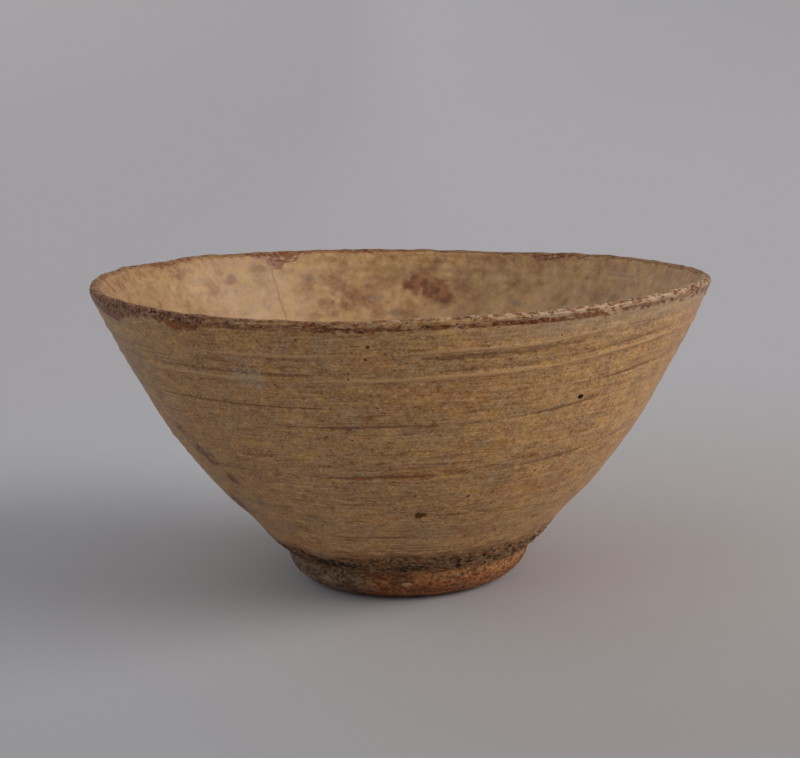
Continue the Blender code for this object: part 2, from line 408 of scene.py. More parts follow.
# ---- meshes
def make_mesh(name, grids, closed_rows, values):
    """A mesh from rows of points. Rows of no width become one point, and rows may close on themselves."""
    rows = np.concatenate(grids, 0)
    points, index, start = [], [], 0
    for row in rows:
        if np.hypot(row[:, 0], row[:, 1]).max() < 1e-6:
            points.append(row[:1])
            index.append(np.full(len(row), start))
            start += 1
        else:
            points.append(row)
            index.append(np.arange(start, start + len(row)))
            start += len(row)
    index = np.array(index)
    after = np.vstack([index[1:], index[:1]]) if closed_rows else index[1:]
    here = index if closed_rows else index[:-1]
    quads = np.stack([here, np.roll(here, -1, 1), np.roll(after, -1, 1), after], -1).reshape(-1, 4)
    faces = []
    for quad in quads.tolist():
        kept = [v for k, v in enumerate(quad) if v not in quad[:k]]
        if len(kept) > 2:
            faces.append(kept)
    points = np.vstack(points) * MM
    mesh = bpy.data.meshes.new(name)
    mesh.from_pydata(points.tolist(), [], faces)
    for label, grid in values.items():
        flat = np.zeros(len(points))
        flat[index.reshape(-1)] = grid.reshape(-1)
        mesh.attributes.new(label, "FLOAT", "POINT").data.foreach_set("value", flat.astype(np.float32))
    mesh.update()
    mesh.shade_smooth()
    made = bpy.data.objects.new(name, mesh)
    bpy.context.scene.collection.objects.link(made)
    return made


def settled(points):
    """Rim unevenness put in, and nothing outside the CAD box or below the surface that it stands on."""
    points = points.copy()
    points[..., 2] = np.clip(points[..., 2] + rim_lift(points), 0.0, RIM_TOP - SLACK)
    radius = np.hypot(points[..., 0], points[..., 1])
    keep = np.minimum(1.0, (RIM_RADIUS - SLACK) / np.maximum(radius, 1.0))
    points[..., :2] *= keep[..., None]
    return points


def row_values(points, relief, edge, outer):
    """What the materials read at each point, besides where it is."""
    lip = from_edge(points, outer)
    return {
        "relief": relief,
        "ridge": ridges(points),
        "edge": edge,
        "lip": lip,
        "iron": around(points, IRON_OUTSIDE if outer else IRON_INSIDE, 2.5) - lip,
        "tone": around(points, IRON_TONE),
        "cover": around(points, IRON_COVER),
        "line": around(points, IRON_LINE),
        "streak": around(points, RIDGE_STRENGTH, 12.0),
    }


def make_coat(name, face, picks, grid, value):
    """One closed coat: its face, and a coarse back under the clay's surface through the picked rows."""
    back = Surface(face.line[picks], face.away[picks], len(face.turn))
    hidden = back.raised(np.full(back.angle.shape, -TUCK - COAT - DIP))
    value = {label: np.concatenate([rows, np.zeros(back.angle.shape)], 0) for label, rows in value.items()}
    return make_mesh(name, [settled(grid), settled(hidden)], True, value)


def make_glaze_outside():
    """The outside coat, thin and dipping under the clay's surface past its ragged edges."""
    line, away = outside(np.linspace(0.05, 0.9999, 160))
    lip = lip_line(LIP_ROWS)[:5]
    face = Surface(np.vstack([line, lip[1:]]), np.vstack([away, facing_out(lip)[1:]]), COAT_COLUMNS)
    relief = outside_relief(face.base)
    low = face.base[..., 2] - glaze_low_edge(face.base)
    high = below_lip(face.base) - bare_reach(face.base) + 0.5 * noise(face.base, 1.6, 121, 2)
    edge = np.minimum(low, high)
    over = COAT * smooth(edge, -0.5, 0.25) + 0.1 * np.exp(-(((low - 0.5) / 0.45) ** 2)) - COAT
    over -= DIP * smooth(edge, -0.1, -0.9)
    grid = face.raised(relief + over - nicks(face.base))
    picks = [*range(len(face.line) - 1, -1, -26), 0]
    return make_coat("glaze_coat_outside", face, picks, grid, row_values(face.base, relief, edge, True))


def inside_line(count, stop):
    """Evenly spaced points down the inside from near the lip to the middle of the floor."""
    line = inside(np.linspace(stop, 0.0, 400))
    gaps = np.linalg.norm(np.diff(line, axis=0), axis=1)
    line = along_line(line, gaps.sum() / (count - 1))
    away = facing_out(line)
    away[-1] = (0.0, 1.0)
    line[-1, 0] = 0.0
    return line, away


def make_glaze_inside():
    """The inside coat, unbroken across the floor."""
    line, away = inside_line(150, LIP_END)
    lip = lip_line(LIP_ROWS)[7:]
    face = Surface(np.vstack([lip[:-1], line]), np.vstack([facing_out(lip)[:-1], away]), COAT_COLUMNS)
    relief = inside_relief(face.base)
    high = below_lip(face.base) - 0.9 + 0.5 * noise(face.base, 1.6, 131, 2)
    over = COAT * smooth(high, -0.5, 0.25) - COAT - DIP * smooth(high, -0.1, -0.9)
    grid = face.raised(relief + over - nicks(face.base))
    picks = np.linspace(len(face.line) - 1, 0, 9).astype(int)
    return make_coat("glaze_coat_inside", face, picks, grid, row_values(face.base, relief, high, False))


def crust_beads(points):
    """Height of the crawled beads: round lumps, crowded in places and missing in others."""
    big, owner = cells(points, 1.9, 141)
    small, _ = cells(points, 0.95, 145)
    lumps = 0.5 * smooth(big, 0.75, 0.1) * smooth(owner, 0.25, 0.9) + 0.16 * smooth(small, 0.7, 0.1)
    return lumps * (0.75 + 0.6 * noise(points, 7.0, 149))


def make_glaze_crust():
    """The dark crawled band between the coat and the bare foot."""
    face = Surface(*outside(np.linspace(0.0, 0.105, 46)), 640)
    ring = face.base * LEVELLED
    low = face.base[..., 2] - (7.9 + 0.9 * noise(ring, 8.0, 151) + 0.7 * noise(ring, 2.6, 153))
    high = glaze_low_edge(face.base) + 0.5 - face.base[..., 2]
    edge = np.minimum(low, high)
    relief = outside_relief(face.base)
    over = (crust_beads(face.base) + 0.05) * smooth(edge, -0.3, 0.5) - COAT - DIP * smooth(edge, 0.1, -0.7)
    grid = face.raised(relief * 0.5 + over)
    picks = np.linspace(len(face.line) - 1, 0, 5).astype(int)
    return make_coat("glaze_crust_band", face, picks, grid, row_values(face.base, relief, edge, True))


def clay_line():
    """The whole clay outline, from under the foot to the middle of the floor, and each point's stretch."""
    stretches = (
        along_line(foot_line(), 0.62),
        outside(np.linspace(0.004, 0.115, 16))[0],
        outside(np.linspace(0.2, 0.86, 4))[0],
        outside(np.linspace(0.91, 0.995, 11))[0],
        lip_line(17),
        inside(np.linspace(LIP_END - 0.004, 0.93, 7)),
        inside(np.concatenate([np.linspace(0.8, 0.26, 4), np.linspace(0.18, 0.0, 3)])),
    )
    stretch = np.concatenate([np.full(len(line), index) for index, line in enumerate(stretches)])
    return np.vstack(stretches), stretch


FOOT, LOW_WALL, HIDDEN_WALL, HIGH_WALL, LIP, DOWN, HIDDEN_FLOOR = range(7)  # the stretches of that outline


def foot_relief(points):
    """Trimming lines, grit and small chips of the bare foot, weaker where it rests on the table."""
    tool = 0.06 * noise(points, (30.0, 30.0, 1.0), 161, 2) + 0.1 * noise(points, 5.0, 163, 2)
    grit = 0.05 * noise(points, 1.3, 165, 2)
    near, owner = cells(points, 4.0, 167)
    chips = np.where(owner > 0.6, smooth(near, 0.35, 0.1), 0.0) * 0.22
    return (tool + grit - chips) * (0.25 + 0.75 * smooth(points[..., 2], 0.0, 2.0))


def clay_relief(points, stretch):
    """The clay's own unevenness, which turns from that of the foot to that of the wall behind the crust."""
    out_relief, in_relief, foot = outside_relief(points), inside_relief(points), foot_relief(points)
    lip_relief = 0.5 * (out_relief + in_relief)
    relief = np.where(stretch < LIP, out_relief, np.where(stretch == LIP, lip_relief, in_relief))
    relief = np.where(stretch == FOOT, foot, relief)
    join = smooth(points[..., 2], FOOT_HEIGHT - 1.0, FOOT_HEIGHT + 1.5)
    return np.where(stretch <= LOW_WALL, relief * 0.6 + foot * (1.0 - join) * 0.4, relief)


def make_clay_body():
    """One closed piece of clay: fine at the foot and the lip, coarse where the glaze hides it."""
    line, stretch = clay_line()
    stretch = stretch[:, None]
    away = facing_out(line)
    away[0], away[-1] = (0.0, -1.0), (0.0, 1.0)
    body = Surface(line, away, 760)
    base = body.base
    relief = clay_relief(base, stretch)
    lip_rough = 0.05 * noise(base, 0.9, 171, 2) + 0.06 * noise(base, 2.4, 173)
    near_lip = smooth(below_lip(base), 5.0, 3.0)
    over = np.where(stretch == FOOT, 0.0, -COAT * smooth(base[..., 2], FOOT_HEIGHT, FOOT_HEIGHT + 0.6))
    over = over - HIDDEN_DROP * ((stretch == HIDDEN_WALL) | (stretch == HIDDEN_FLOOR))
    grid = body.raised(relief + over + lip_rough * near_lip - nicks(base))
    radius = np.hypot(base[..., 0], base[..., 1])
    over_top = (stretch > LIP) | ((stretch == LIP) & (radius < RIM_RADIUS - LIP_EDGE))
    value, inner = (row_values(base, relief, np.zeros(radius.shape), outer) for outer in (True, False))
    for label in ("lip", "iron"):
        value[label] = np.where(over_top, inner[label], value[label])
    return make_mesh("clay_wall_and_foot", [settled(grid)], False, value)


# ---- colours, as linear red, green and blue
OCHRE = (0.495, 0.274, 0.114)
TAN = (0.424, 0.254, 0.121)
GRAIN = (0.48, 0.35, 0.215)  # what a neutral grain adds to the glaze and the clay
DARKEST = (0.02, 0.012, 0.008)  # the least that a dark grain leaves of them
PALE_LIP = (0.56, 0.385, 0.235)
LIP_DARK = (0.07, 0.018, 0.005), (0.3, 0.118, 0.048)
LIP_RUST = (0.092, 0.021, 0.003), (0.32, 0.108, 0.029)
LIP_WORN = (0.44, 0.255, 0.14)
LIP_WHITE = (0.64, 0.48, 0.36)
RUST_THREAD = (0.26, 0.085, 0.02)
RUST_SPECK = (0.3, 0.115, 0.03)
RUST_STREAK = (0.33, 0.105, 0.022)
OLIVE_SPECK = (0.165, 0.112, 0.054)
DOT_BROWN = (0.085, 0.038, 0.018)
PIT_BROWN = (0.075, 0.036, 0.018)
CHIP_BROWN = (0.06, 0.028, 0.014)
PINHOLE_BLACK = (0.02, 0.012, 0.009)
STAIN_BROWN = (0.18, 0.058, 0.017)
FRAYED_BROWN = (0.19, 0.078, 0.026)
FROST_WHITE = (0.5, 0.4, 0.28)
PATCH_BROWN = (0.15, 0.046, 0.013), (0.29, 0.108, 0.036)
SMUDGE_GREY = (0.15, 0.115, 0.085)
SPOT_BROWN = (0.11, 0.05, 0.022)
HAIR_BROWN = (0.165, 0.078, 0.036)
CRUST_BROWN = (0.085, 0.036, 0.013)
CRUST_TAN = (0.25, 0.135, 0.068), (0.42, 0.24, 0.12)
CRUST_PALE = (0.36, 0.26, 0.16)
CRUST_RUST = (0.3, 0.11, 0.032)
CRUST_BLACK = (0.03, 0.017, 0.01)
CRUST_CREAM = (0.52, 0.38, 0.24)
CRUST_EDGE = (0.26, 0.1, 0.03)
CLAY_ORANGE = (0.17, 0.052, 0.013), (0.34, 0.118, 0.03)
# painted shade: the greyer clay for the foot's left side, away from the light
CLAY_SHADE_GREY = (0.16, 0.094, 0.048), (0.29, 0.188, 0.108)
CLAY_PALE_TOP = (0.48, 0.27, 0.125)
CLAY_FLUSH = (0.52, 0.205, 0.062)
CLAY_HOLLOW = (0.06, 0.024, 0.011)
CLAY_CRUMB = (0.52, 0.3, 0.15)
CLAY_BLOT = (0.075, 0.03, 0.013)
CLAY_GRIT = (0.62, 0.51, 0.38)
CLAY_PEBBLE = (0.52, 0.37, 0.22)
CLAY_SOOT = (0.03, 0.018, 0.013)
CLAY_SPLIT = (0.03, 0.016, 0.01)
# the floor's paper grey far off, and near the bowl with painted cool shade on the left and painted warm light
# on the right
FLOOR_LEFT_COOL_SHADE = (0.556, 0.554, 0.576)
FLOOR_RIGHT_WARM_LIGHT = (0.54, 0.507, 0.505)
FLOOR_FAR = (0.564, 0.547, 0.564)


def tints(colour, red, green, blue):
    """A colour times a factor for each of red, green and blue."""
    return colour[0] * red, colour[1] * green, colour[2] * blue


# ---- materials
class Shade:
    """Builds one material's nodes by small steps. A value is a number or a node's output."""

    def __init__(self, name):
        self.material = bpy.data.materials.new(name)
        self.material.use_nodes = True
        self.tree = self.material.node_tree
        self.place = self.scaled(self.node("TexCoord", {}, "Object"), 1.0 / MM)

    def fill(self, node, inputs):
        """Links each named input to a node's output, or sets it to a number or a colour."""
        for name, value in inputs.items():
            socket = node.inputs[name]
            if isinstance(value, bpy.types.NodeSocket):
                self.tree.links.new(value, socket)
            elif socket.type == "RGBA":
                socket.default_value = (*value, 1.0)
            else:
                socket.default_value = value

    def node(self, kind, inputs, output, **settings):
        """One output of a new node that has these inputs and settings."""
        node = self.tree.nodes.new("ShaderNode" + kind)
        for name, value in settings.items():
            setattr(node, name, value)
        self.fill(node, inputs)
        return node.outputs[output]

    def vector(self, how, a, b=(0.0, 0.0, 0.0), output="Vector"):
        return self.node("VectorMath", {0: a, 1: b}, output, operation=how)

    def scaled(self, colour, factor):
        return self.node("VectorMath", {0: colour, "Scale": factor}, "Vector", operation="SCALE")

    def math(self, how, a, b=0.0):
        return self.node("Math", {0: a, 1: b}, 0, operation=how)

    def joined(self, how, values):
        """One value from several, taken two at a time."""
        total = values[0]
        for value in values[1:]:
            total = self.math(how, total, value)
        return total

    def plus(self, *values):
        return self.joined("ADD", values)

    def times(self, *values):
        return self.joined("MULTIPLY", values)

    def most(self, *values):
        return self.joined("MAXIMUM", values)

    def swing(self, value, width):
        """Noise about 0.5 turned into a swing about 0, this many times as wide."""
        return self.times(self.math("SUBTRACT", value, 0.5), width)

    def off(self, value, level):
        """How far a value is from a level, either way."""
        return self.math("ABSOLUTE", self.math("SUBTRACT", value, level))

    def step(self, value, low, high, start=0.0, end=1.0):
        """start below low, end above high and a smooth step between; low may be above high."""
        if low > high:
            low, high, start, end = high, low, end, start
        inputs = {"Value": value, "From Min": low, "From Max": high, "To Min": start, "To Max": end}
        return self.node("MapRange", inputs, "Result", interpolation_type="SMOOTHSTEP")

    def mix(self, share, a, b):
        return self.node("Mix", {0: share, 6: a, 7: b}, 2, data_type="RGBA")

    def laid(self, base, *layers):
        """The base with colours laid over it in turn. Layers are share, colour, perhaps a strength."""
        for share, colour, *strength in layers:
            base = self.mix(self.times(share, *strength), base, colour)
        return base

    def tinted(self, base, pure, *rows):
        """The base tinted past high. Rows are value, low, high, share and the pure colour's tint."""
        for value, low, high, share, tint in rows:
            base = self.mix(self.step(value, low, high, 0.0, share), base, tints(pure, *tint))
        return base

    def attribute(self, name):
        return self.node("Attribute", {}, "Fac", attribute_name=name)

    def stretched(self, size, seed):
        """The place in noise cells of this size, moved by a seed."""
        size = (size, size, size) if isinstance(size, (int, float)) else size
        grown = self.vector("MULTIPLY", self.place, tuple(1.0 / s for s in size))
        return self.vector("ADD", grown, (seed * 3.7, seed * 1.9, seed * 2.3))

    def noise(self, size, seed, detail=2.0, rough=0.5):
        """Noise about 0.5, with features of this size in millimetres."""
        inputs = {"Vector": self.stretched(size, seed), "Scale": 1.0, "Detail": detail, "Roughness": rough}
        return self.node("TexNoise", inputs, "Fac")

    def uneven(self, colour, *parts):
        """A colour made lighter and darker by (noise, strength) pairs."""
        factor = self.plus(1.0, *(self.swing(value, strength) for value, strength in parts))
        return self.scaled(colour, self.most(factor, 0.12))

    def grained(self, colour, *parts):
        """A colour with a grain of (noise, strength) pairs that changes how light it is and not its tint."""
        total = self.plus(0.0, *(self.swing(value, strength) for value, strength in parts))
        return self.vector("MAXIMUM", self.vector("ADD", colour, self.scaled(GRAIN, total)), DARKEST)

    def specks(self, size, seed, reach, kept):
        """Scattered dots: reach is their radius in cells, kept the share of cells that have one."""
        far = self.node("TexVoronoi", {"Vector": self.stretched(size, seed), "Scale": 1.0}, "Distance")
        chance = self.node("SeparateColor", {0: far.node.outputs["Color"]}, 0)
        return self.times(self.step(far, reach, reach * 0.55), self.step(chance, 1.0 - kept, 1.001 - kept))

    def patch(self, spot, half, ragged=0.35, seed=0, grain=2.0, soft=0.2):
        """1 in a blot about a point, half its width along each axis, with a ragged or a soft edge."""
        apart = self.vector("SUBTRACT", self.place, spot)
        apart = self.vector("MULTIPLY", apart, tuple(1.0 / h for h in half))
        far = self.vector("LENGTH", apart, output="Value")
        wander = self.swing(self.noise(grain, seed + 31, 3.0), 2.0 * ragged)
        return self.step(self.plus(far, wander), 0.95 + soft, 0.95 - soft)

    def blots(self, spot, places, seeds, *edge):
        """1 in any of several patches. Places are angle, height, half-width, half-height, perhaps a share."""
        total = 0.0
        for angle, height, wide, tall, *share in places:
            ragged, seed = edge[0], seeds[0] * angle + seeds[1] * height + seeds[2]
            blot = self.patch(spot(angle, height), (wide, wide, tall), ragged, seed, *edge[1:])
            total = self.most(total, self.times(blot, *share))
        return total

    def crack(self, angle, low, high, half, wander, seed):
        """1 on a thin upright line at an angle round the bowl, between two heights."""
        sway = self.swing(self.noise(4.0, seed, 3.0), 2.0 * wander)
        off = self.off(self.plus(self.along(angle + 90.0), sway), 0.0)
        height = self.height()
        return self.times(self.step(off, half, half * 0.4), self.step(self.along(angle), 1.0, 2.0),
                          self.step(height, low, low + 1.0), self.step(height, high, high - 1.0))

    def height(self):
        return self.vector("DOT_PRODUCT", self.place, (0.0, 0.0, 1.0), "Value")

    def along(self, angle):
        """Distance out from the axis towards this angle round the bowl."""
        turn = math.radians(angle)
        return self.vector("DOT_PRODUCT", self.place, (math.cos(turn), math.sin(turn), 0.0), "Value")

    def done(self, colour, roughness, bump, distance, specular=0.5):
        """The material with this colour, roughness, shine and a bump of so many millimetres."""
        normal = self.node("Bump", {"Strength": 1.0, "Distance": distance * MM, "Height": bump}, "Normal")
        self.fill(self.tree.nodes["Principled BSDF"], {
            "Base Color": colour, "Roughness": roughness, "Specular IOR Level": specular, "Normal": normal})
        return self.material


def turned_point(angle, radius, height):
    """A point this far out at this angle, raised as the rim's unevenness raises it."""
    turn = math.radians(angle)
    point = np.array([radius * math.cos(turn), radius * math.sin(turn), height])
    point[2] += rim_lift(point[None, :])[0]
    return tuple(point)


def point_on(line, angle, height):
    """The point of an outline at this angle and height."""
    return turned_point(angle, float(np.interp(height, line[:, 1], line[:, 0])), height)


def spot_outside(angle, height):
    return point_on(outside(np.linspace(0.0, 1.0, 400))[0], angle, height)


def spot_inside(angle, height):
    return point_on(inside(np.linspace(FLOOR_SHARE, 1.0, 400)), angle, height)


# ---- the iron-brown lip, shared by both glazes and the bare clay
def iron_colour(shade):
    """The lip's brown: dark purple brown to rust, flecked with white."""
    lip = shade.attribute("lip")
    mottle = shade.noise((1.3, 1.3, 0.9), 3, 3.0, 0.7)
    share = shade.step(mottle, 0.36, 0.62)
    sway = shade.math("SUBTRACT", shade.noise(3.0, 5, 3.0), 0.5)
    sway = shade.math("SUBTRACT", sway, shade.step(lip, 1.6, 3.2, 0.0, 0.55))
    darkness = shade.step(shade.plus(shade.attribute("tone"), sway), 0.25, 0.7)
    colour = shade.mix(darkness, shade.mix(share, *LIP_RUST), shade.mix(share, *LIP_DARK))
    worn = shade.step(shade.noise((1.3, 1.3, 0.7), 6, 3.0, 0.65), 0.54, 0.66)
    colour = shade.laid(colour, (shade.times(worn, shade.step(lip, 2.8, 1.6, 0.15, 0.6)), LIP_WORN))
    colour = shade.uneven(colour, (shade.noise(0.42, 4, 2.0, 0.6), 2.6))
    white = shade.step(shade.noise((0.52, 0.52, 0.42), 9, 2.0, 0.6), 0.59, 0.66)
    return shade.laid(colour, (shade.times(white, shade.step(lip, 2.8, 1.6)), LIP_WHITE, 0.7))


def iron_mask(shade):
    """1 where the lip is brown: its band, its thin outer edge and a broken line below that."""
    rag = shade.plus(shade.noise((1.5, 1.5, 1.2), 7, 4.0, 0.7), shade.noise(4.0, 8, 2.0))
    rag = shade.times(shade.math("SUBTRACT", rag, 1.0), 3.4)
    dashes = shade.noise((2.4, 2.4, 0.8), 10, 4.0, 0.65)
    cover = shade.plus(shade.times(shade.attribute("cover"), 0.42), 0.28)
    band = shade.times(shade.step(shade.plus(shade.attribute("iron"), rag), -0.45, 0.75),
                       shade.step(shade.math("SUBTRACT", cover, dashes), -0.045, 0.035))
    lip = shade.plus(shade.attribute("lip"), shade.times(rag, 0.22))
    edge = shade.times(shade.step(lip, 0.95, 0.45), shade.step(dashes, 0.56, 0.5), 0.85)
    broken = shade.step(shade.noise((4.5, 4.5, 2.0), 2, 3.0), 0.385, 0.455)
    low = shade.times(shade.step(shade.off(lip, 2.1), 0.75, 0.3), broken, shade.attribute("line"))
    return shade.most(band, edge, low)


# ---- the outside glaze
CHIPS = (  # angle, height, half-width, half-height: small dark chips and spots
    (-59.0, 35.8, 0.7, 0.4), (-86.6, 26.4, 1.5, 0.8), (-95.7, 68.3, 0.42, 0.35), (-96.2, 65.5, 0.38, 0.3),
    (-75.0, 31.0, 0.45, 0.3), (-118.0, 44.0, 0.4, 0.3), (20.0, 48.0, 0.6, 0.4), (95.0, 40.0, 0.8, 0.5),
    (150.0, 57.0, 0.6, 0.5),
)
STAINS = (  # brown stains, most of them low on the left
    (-144.0, 39.0, 3.0, 3.6), (-139.0, 33.0, 1.6, 1.6), (-149.0, 43.5, 2.0, 2.2), (-150.0, 24.0, 3.5, 4.0),
    (60.0, 30.0, 5.0, 4.0), (170.0, 45.0, 4.0, 6.0),
)
STREAK = (  # the patches of a broken rust streak half way down the front
    (-92.5, 37.3, 3.0, 0.8), (-86.0, 37.4, 2.0, 0.6), (-79.0, 37.9, 3.2, 0.8), (-71.0, 38.8, 1.8, 0.5),
    (-62.0, 40.0, 2.6, 0.7), (-100.0, 36.8, 1.6, 0.5),
)


def ochre_ground(shade, haze, mottle):
    """Ochre that runs warmer, yellower, browner and greyer by turns."""
    share = shade.step(shade.noise((26.0, 26.0, 12.0), 11, 2.0), 0.38, 0.62)
    warm = shade.noise((15.0, 15.0, 8.0), 25, 3.0, 0.6)
    blush = shade.noise((4.5, 4.5, 2.4), 20, 3.0, 0.6)
    grey = shade.plus(haze, shade.swing(mottle, 0.7))
    base = shade.mix(share, tints(OCHRE, 0.94, 0.91, 0.88), tints(OCHRE, 1.05, 1.06, 1.0))
    base = shade.tinted(
        base, OCHRE,
        (warm, 0.5, 0.64, 0.6, (1.14, 0.98, 0.78)),
        (warm, 0.46, 0.34, 0.5, (0.88, 0.94, 1.02)),
        (blush, 0.5, 0.66, 0.7, (1.15, 1.13, 0.76)),
        (blush, 0.48, 0.34, 0.6, (0.9, 0.8, 0.66)),
        (grey, 0.54, 0.72, 0.6, (0.7, 0.84, 1.12)),
    )
    return shade.uneven(base, (blush, 0.5))


def ochre_grain(shade, base, mottle, fleck, lines):
    """Adds the grain, the flecks and the throwing lines, with painted shade in the grooves and painted
    highlight on the ridges.
    """
    fine = shade.noise(0.3, 21, 1.0, 0.6)
    streaks = shade.times(shade.attribute("streak"), 0.95)
    ridge = shade.plus(shade.attribute("ridge"), shade.swing(mottle, 0.22))
    base = shade.grained(base, (fleck, 1.25), (mottle, 1.05), (fine, 0.7), (lines, streaks))
    return shade.tinted(
        base, OCHRE,
        # painted glints: the brightest flecks are lifted towards a bluish white
        (fleck, 0.65, 0.72, 0.3, (1.5, 1.8, 2.5)),
        (mottle, 0.34, 0.27, 0.6, (0.3, 0.24, 0.22)),
        # painted shade in the grooves below the throwing ridges, and painted highlight along the ridges
        (ridge, -0.07, -0.19, 0.72, (0.36, 0.24, 0.13)),
        (ridge, 0.06, 0.18, 0.7, (1.32, 1.36, 1.4)),
    )


def ochre_specks(shade, base, haze):
    """Adds rust threads, rusty and olive specks and dark dots."""
    thread = shade.times(shade.step(shade.noise((12.0, 12.0, 0.45), 16, 3.0, 0.6), 0.6, 0.66),
                         shade.step(shade.noise((6.0, 6.0, 3.0), 17, 2.0), 0.52, 0.6))
    crowd = shade.step(shade.noise((9.0, 9.0, 5.0), 23, 3.0, 0.6), 0.42, 0.6)
    rusty = shade.times(shade.step(shade.noise((1.3, 1.3, 0.8), 22, 3.0, 0.65), 0.615, 0.68), crowd)
    olive = shade.times(shade.specks((1.2, 1.2, 0.95), 26, 0.3, 0.2), shade.step(haze, 0.44, 0.56))
    dots = shade.specks((1.6, 1.6, 1.3), 18, 0.2, 0.1)
    return shade.laid(base, (thread, RUST_THREAD, 0.65), (rusty, RUST_SPECK, 0.6), (olive, OLIVE_SPECK, 0.62),
                      (dots, DOT_BROWN, 0.8))


def ochre_marks(shade, base, mottle, fleck):
    """Adds pits, chips, the pinhole, the stains and the rust streak. Gives the colour and the holes."""
    pits = shade.specks((2.6, 2.6, 2.2), 19, 0.11, 0.1)
    chips = shade.times(shade.blots(spot_outside, CHIPS, (0, 1, 0), 0.9, 0.9), 0.9)
    pinhole = shade.patch(spot_outside(-54.5, 53.0), (0.8, 0.8, 0.6), 0.15, 1, 0.8)
    stains = shade.blots(spot_outside, STAINS, (0, 1, 0), 1.5, 1.8, 0.3)
    streak = shade.blots(spot_outside, STREAK, (1, 1, 0), 0.8, 1.6, 0.4)
    base = shade.laid(
        base, (pits, PIT_BROWN, 0.8), (chips, CHIP_BROWN, 0.9), (pinhole, PINHOLE_BLACK),
        (shade.step(mottle, 0.38, 0.56, 0.35, 0.95), shade.uneven(STAIN_BROWN, (fleck, 2.0)), stains),
        (shade.step(mottle, 0.4, 0.54, 0.25, 0.95), shade.uneven(RUST_STREAK, (fleck, 2.2)), streak),
    )
    return base, shade.most(chips, pits, pinhole)


def ochre_edges(shade, base, haze, mottle, fleck):
    """Adds a frosted patch, the frayed brown edge above the crust and the pale lip on the right."""
    frost = shade.patch(spot_outside(-118.0, 60.5), (4.0, 4.0, 2.6), 0.9, 7, 2.0, 0.5)
    frayed = shade.plus(shade.attribute("edge"), shade.swing(shade.noise((4.0, 4.0, 0.8), 24, 3.0), 7.0))
    frayed = shade.times(shade.step(frayed, 2.6, 0.4, 0.0, 0.75), shade.step(shade.height(), 22.0, 16.0))
    right = shade.step(shade.plus(shade.along(-32.0), shade.swing(haze, 30.0)), 44.0, 66.0)
    pale = shade.times(right, shade.step(shade.attribute("lip"), 9.0, 2.0))
    return shade.laid(
        base,
        (frost, FROST_WHITE, shade.step(fleck, 0.46, 0.6, 0.15, 0.8)),
        (frayed, shade.uneven(FRAYED_BROWN, (mottle, 1.4))),
        (pale, shade.uneven(PALE_LIP, (mottle, 1.1)), 0.65),
    )


def make_outside_glaze():
    """Semi-matt ochre, mottled grey and brown, with fine lines, pinholes, painted shade, painted highlights
    and glints.
    """
    shade = Shade("ochre_glaze")
    haze = shade.noise((6.5, 6.5, 3.2), 12, 4.0, 0.6)
    lines = shade.noise((9.0, 9.0, 0.45), 13, 3.0, 0.6)
    mottle = shade.noise((1.6, 1.6, 1.1), 14, 3.0, 0.7)
    fleck = shade.noise((0.7, 0.7, 0.52), 15, 2.0, 0.6)
    base = ochre_ground(shade, haze, mottle)
    base = ochre_grain(shade, base, mottle, fleck, lines)
    base = ochre_specks(shade, base, haze)
    base, holes = ochre_marks(shade, base, mottle, fleck)
    # painted light: the ochre is scaled from 0.87 on the left to 1.14 on the right, lighter on the side the
    # window light falls from
    base = shade.scaled(base, shade.step(shade.along(0.0), -75.0, 75.0, 0.87, 1.14))
    base = ochre_edges(shade, base, haze, mottle, fleck)
    brown = iron_mask(shade)
    base = shade.laid(base, (brown, iron_colour(shade)))
    rough = shade.step(mottle, 0.35, 0.65, 0.38, 0.56)
    height = shade.plus(shade.times(fleck, 0.45), shade.times(mottle, 0.7), shade.times(lines, 0.5))
    height = shade.math("SUBTRACT", height, shade.times(holes, 2.2))
    shine = shade.step(shade.most(holes, shade.times(brown, 0.4)), 0.0, 0.8, 0.5, 0.0)
    return shade.done(base, rough, height, 0.15, shine)


# ---- the inside glaze
PATCHES = (  # angle, height, half-width, half-height, share: brown patches on the inside
    (85.5, 64.6, 4.0, 3.0, 1.0), (81.5, 62.6, 4.6, 3.2, 1.0), (78.5, 60.6, 2.6, 2.4, 1.0),
    (105.5, 64.5, 3.0, 2.4, 0.6), (101.0, 61.5, 3.2, 2.2, 0.6), (96.0, 57.5, 2.6, 2.4, 0.55),
    (109.0, 60.0, 2.2, 1.8, 0.45), (98.5, 63.5, 2.2, 1.2, 0.5), (103.0, 58.5, 1.6, 2.2, 0.5),
    (132.5, 67.6, 2.4, 1.4, 0.85), (135.5, 69.2, 1.6, 1.2, 0.6), (38.0, 64.0, 3.4, 2.2, 0.3),
    (114.0, 63.0, 3.4, 2.6, 0.35), (-160.0, 60.0, 4.0, 3.0, 0.5), (-100.0, 52.0, 6.0, 5.0, 0.7),
    (62.0, 66.5, 2.6, 1.6, 0.35), (-40.0, 40.0, 5.0, 4.5, 0.6), (-120.0, 66.0, 4.0, 2.5, 0.7),
    (10.0, 35.0, 6.0, 4.0, 0.5), (160.0, 34.0, 5.0, 3.5, 0.5), (-70.0, 26.0, 4.0, 3.0, 0.6),
    (88.0, 58.5, 2.0, 1.6, 0.35), (46.0, 61.0, 1.4, 1.6, 0.6), (57.0, 69.5, 2.6, 1.8, 0.45),
    (119.0, 70.6, 2.8, 1.4, 0.7),
)
SMUDGES = (  # grey smudges there
    (96.5, 60.5, 2.4, 1.2), (91.0, 56.8, 2.2, 1.0), (31.8, 63.5, 1.6, 0.8), (32.5, 69.3, 5.0, 0.35),
    (112.0, 66.5, 1.6, 1.0), (60.0, 60.0, 1.8, 0.9),
)


